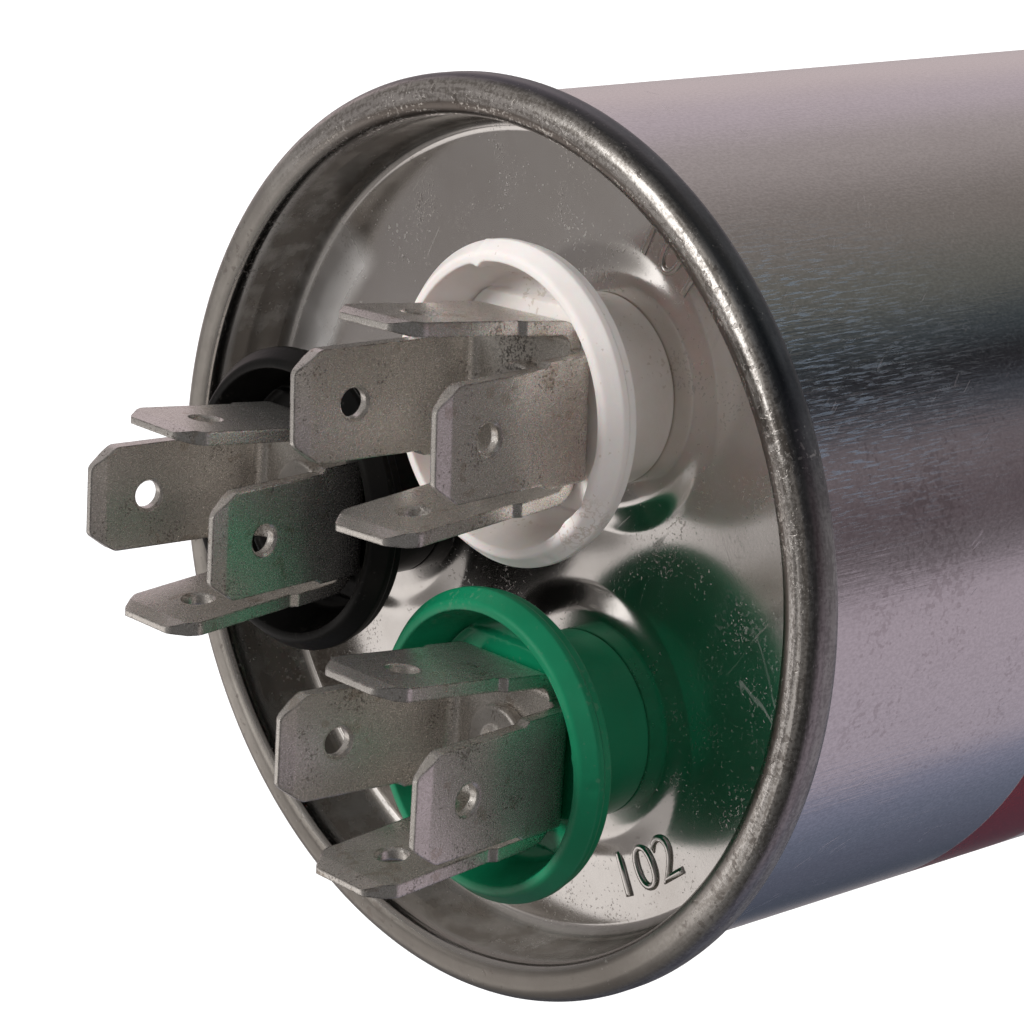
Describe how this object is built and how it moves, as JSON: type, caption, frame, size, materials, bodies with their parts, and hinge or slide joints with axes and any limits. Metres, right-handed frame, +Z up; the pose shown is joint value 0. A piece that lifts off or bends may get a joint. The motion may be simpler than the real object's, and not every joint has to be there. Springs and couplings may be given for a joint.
{
  "type": "motor run capacitor",
  "caption": "Round motor run capacitor: drawn can with a double-seamed recessed cover, moulded terminals with clusters of push-on blades, and a wound film element inside",
  "frame": {"origin": "centre of the can's flat bottom", "axes": "+Z up along the can's axis to the terminals; the black terminal is towards +Y, the green one at 210 degrees and the white one at 330 degrees"},
  "size_m": [0.0538, 0.0538, 0.1116],
  "materials": {
    "can_aluminium": "drawn aluminium with fine streaks along the can",
    "cover_tinplate": "bright tinned steel",
    "insulator_black": "moulded thermoplastic",
    "insulator_green": "moulded thermoplastic",
    "insulator_white": "moulded thermoplastic",
    "blade_metal": "stamped and tinned",
    "stud_metal": "tinned",
    "gasket_rubber": "moulded rubber",
    "inner_washer": "phenolic sheet",
    "lead_copper": "tinned copper strip",
    "interrupter_board": "phenolic sheet",
    "liner_plastic": "thin moulded liner",
    "film_roll": "metallised film, wound tight",
    "barrier_film": "plain film",
    "core_plastic": "extruded tube",
    "zinc_spray": "sprayed zinc",
    "wrap_film": "film wrap"
  },
  "bodies": {
    "root": {"can": "can_aluminium", "cover": "cover_tinplate", "insulator_black": "insulator_black", "insulator_green": "insulator_green", "insulator_white": "insulator_white", "blade_cluster_black": "blade_metal", "blade_cluster_green": "blade_metal", "blade_cluster_white": "blade_metal", "stud_black": "stud_metal", "stud_green": "stud_metal", "stud_white": "stud_metal", "gasket_black": "gasket_rubber", "gasket_green": "gasket_rubber", "gasket_white": "gasket_rubber", "inner_washer_black": "inner_washer", "inner_washer_green": "inner_washer", "inner_washer_white": "inner_washer", "lead_strip_black": "lead_copper", "lead_strip_green": "lead_copper", "lead_strip_white": "lead_copper", "interrupter_board": "interrupter_board", "board_spacer": "liner_plastic", "bottom_cup": "liner_plastic", "winding_outer": "film_roll", "winding_inner": "film_roll", "section_barrier": "barrier_film", "core_tube": "core_plastic", "end_spray_bottom": "zinc_spray", "end_spray_top_outer": "zinc_spray", "end_spray_top_inner": "zinc_spray", "roll_wrap": "wrap_film"}
  },
  "joints": []
}
